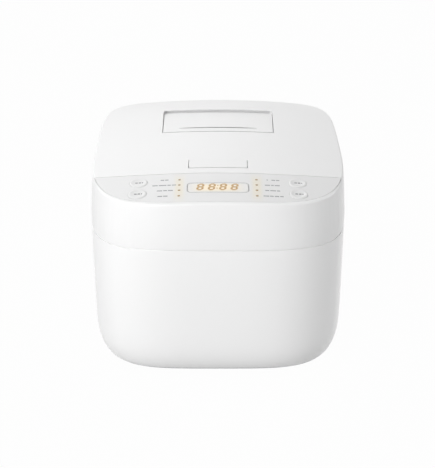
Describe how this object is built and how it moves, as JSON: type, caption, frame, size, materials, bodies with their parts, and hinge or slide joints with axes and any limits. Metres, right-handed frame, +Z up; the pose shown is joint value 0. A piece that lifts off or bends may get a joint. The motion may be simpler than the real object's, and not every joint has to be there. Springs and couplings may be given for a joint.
{
  "type": "rice cooker",
  "caption": "Electric rice cooker with a soft-square white body, a hinged lid with a sloping control panel and steam cap, and a lift-out round pot.",
  "frame": {"origin": "on the table under the middle of the body", "axes": "+X to the right seen from the front, +Y to the back where the lid's hinge is, +Z up; the control panel faces -Y"},
  "size_m": [0.254, 0.312, 0.2016],
  "materials": {
    "white_shell": "satin white, soft highlights",
    "white_lid": "fine matt white",
    "white_panel": "satin white",
    "white_inner": "plain moulded white",
    "grey_plastic": "plain moulded grey",
    "dark_plastic": "plain moulded black",
    "pale_lens": "smooth display cover",
    "amber_lens": "clear amber",
    "rubber": "matt rubber",
    "silicone": "milky silicone",
    "bare_aluminium": "brushed",
    "steel": "plain steel",
    "brass": "plain brass",
    "pot_coating": "dark non-stick coating on aluminium",
    "circuit_board": "lacquered board"
  },
  "bodies": {
    "base": {"outer_shell": "white_shell", "base_pan": "grey_plastic", "foot_1": "rubber", "foot_2": "rubber", "foot_3": "rubber", "foot_4": "rubber", "base_screw_1": "steel", "base_screw_2": "steel", "base_screw_3": "steel", "base_screw_4": "steel", "deck_ring": "grey_plastic", "latch_catch": "steel", "hinge_pin": "steel", "hinge_spring": "steel", "heat_shroud": "bare_aluminium", "heating_plate": "bare_aluminium", "heating_element": "steel", "plate_leg_1": "steel", "plate_leg_2": "steel", "plate_leg_3": "steel", "thermal_fuse": "brass", "sensor_guide": "bare_aluminium", "sensor_spring": "steel", "inlet_housing": "dark_plastic", "inlet_pin_1": "brass", "inlet_pin_2": "brass", "inlet_pin_3": "brass", "power_board": "circuit_board", "board_bracket": "grey_plastic"},
    "sensor": {"sensor_cap": "bare_aluminium"},
    "pot": {"inner_pot": "pot_coating"},
    "lid": {"lid_cover": "white_lid", "panel_fascia": "white_panel", "display_window": "pale_lens", "display_module": "dark_plastic", "control_board": "circuit_board", "lamp_guide_left": "amber_lens", "lamp_guide_right": "amber_lens", "lid_liner": "white_inner", "inner_lid_plate": "bare_aluminium", "lid_gasket": "silicone", "lid_sensor": "steel", "steam_seal": "silicone", "steam_tube": "silicone", "button_pin": "steel", "latch_pin": "steel", "latch_spring": "steel"},
    "steam_cap": {"steam_cap_cover": "white_lid", "steam_cap_base": "white_inner"},
    "button": {"open_button": "white_lid"},
    "latch": {"latch_hook": "grey_plastic"},
    "key_left_upper": {"key_left_upper": "white_panel"},
    "key_left_lower": {"key_left_lower": "white_panel"},
    "key_right_upper": {"key_right_upper": "white_panel"},
    "key_right_lower": {"key_right_lower": "white_panel"}
  },
  "joints": [
    {"name": "lid_hinge", "type": "hinge", "parent": "base", "child": "lid", "pos_m": [0, 0.145, 0.1475], "axis": [-1, 0, 0], "range_deg": [0, 80]},
    {"name": "pot_turn", "type": "hinge", "parent": "base", "child": "pot", "pos_m": [0, -0.006, 0.08], "axis": [0, 0, 1], "continuous": true},
    {"name": "sensor_press", "type": "slide", "parent": "base", "child": "sensor", "axis": [0, 0, -1], "range_m": [0, 0.002], "stiffness_N_per_m": 900, "springref_m": -0.0012, "deforming": ["sensor_spring"]},
    {"name": "steam_cap_lift", "type": "slide", "parent": "lid", "child": "steam_cap", "axis": [0, 0, 1], "range_m": [0, 0.03]},
    {"name": "button_press", "type": "hinge", "parent": "lid", "child": "button", "pos_m": [0, -0.07, 0.1905], "axis": [1, 0, 0], "range_deg": [0, 5], "stiffness_Nm_per_rad": 0.6, "springref_deg": -2.29},
    {"name": "latch_swing", "type": "hinge", "parent": "lid", "child": "latch", "pos_m": [0, -0.098, 0.16797], "axis": [-1, 0, 0], "range_deg": [0, 4.8]},
    {"name": "key_left_upper_press", "type": "slide", "parent": "lid", "child": "key_left_upper", "axis": [0.0529, 0.1458, -0.9879], "range_m": [0, 0.0008], "stiffness_N_per_m": 1500, "springref_m": -0.0003},
    {"name": "key_left_lower_press", "type": "slide", "parent": "lid", "child": "key_left_lower", "axis": [0.0527, 0.1669, -0.9846], "range_m": [0, 0.0008], "stiffness_N_per_m": 1500, "springref_m": -0.0003},
    {"name": "key_right_upper_press", "type": "slide", "parent": "lid", "child": "key_right_upper", "axis": [-0.0529, 0.1458, -0.9879], "range_m": [0, 0.0008], "stiffness_N_per_m": 1500, "springref_m": -0.0003},
    {"name": "key_right_lower_press", "type": "slide", "parent": "lid", "child": "key_right_lower", "axis": [-0.0527, 0.1669, -0.9846], "range_m": [0, 0.0008], "stiffness_N_per_m": 1500, "springref_m": -0.0003}
  ],
  "couplings": [
    {"joint": "latch_swing", "follows": "button_press", "ratio": 0.9}
  ]
}
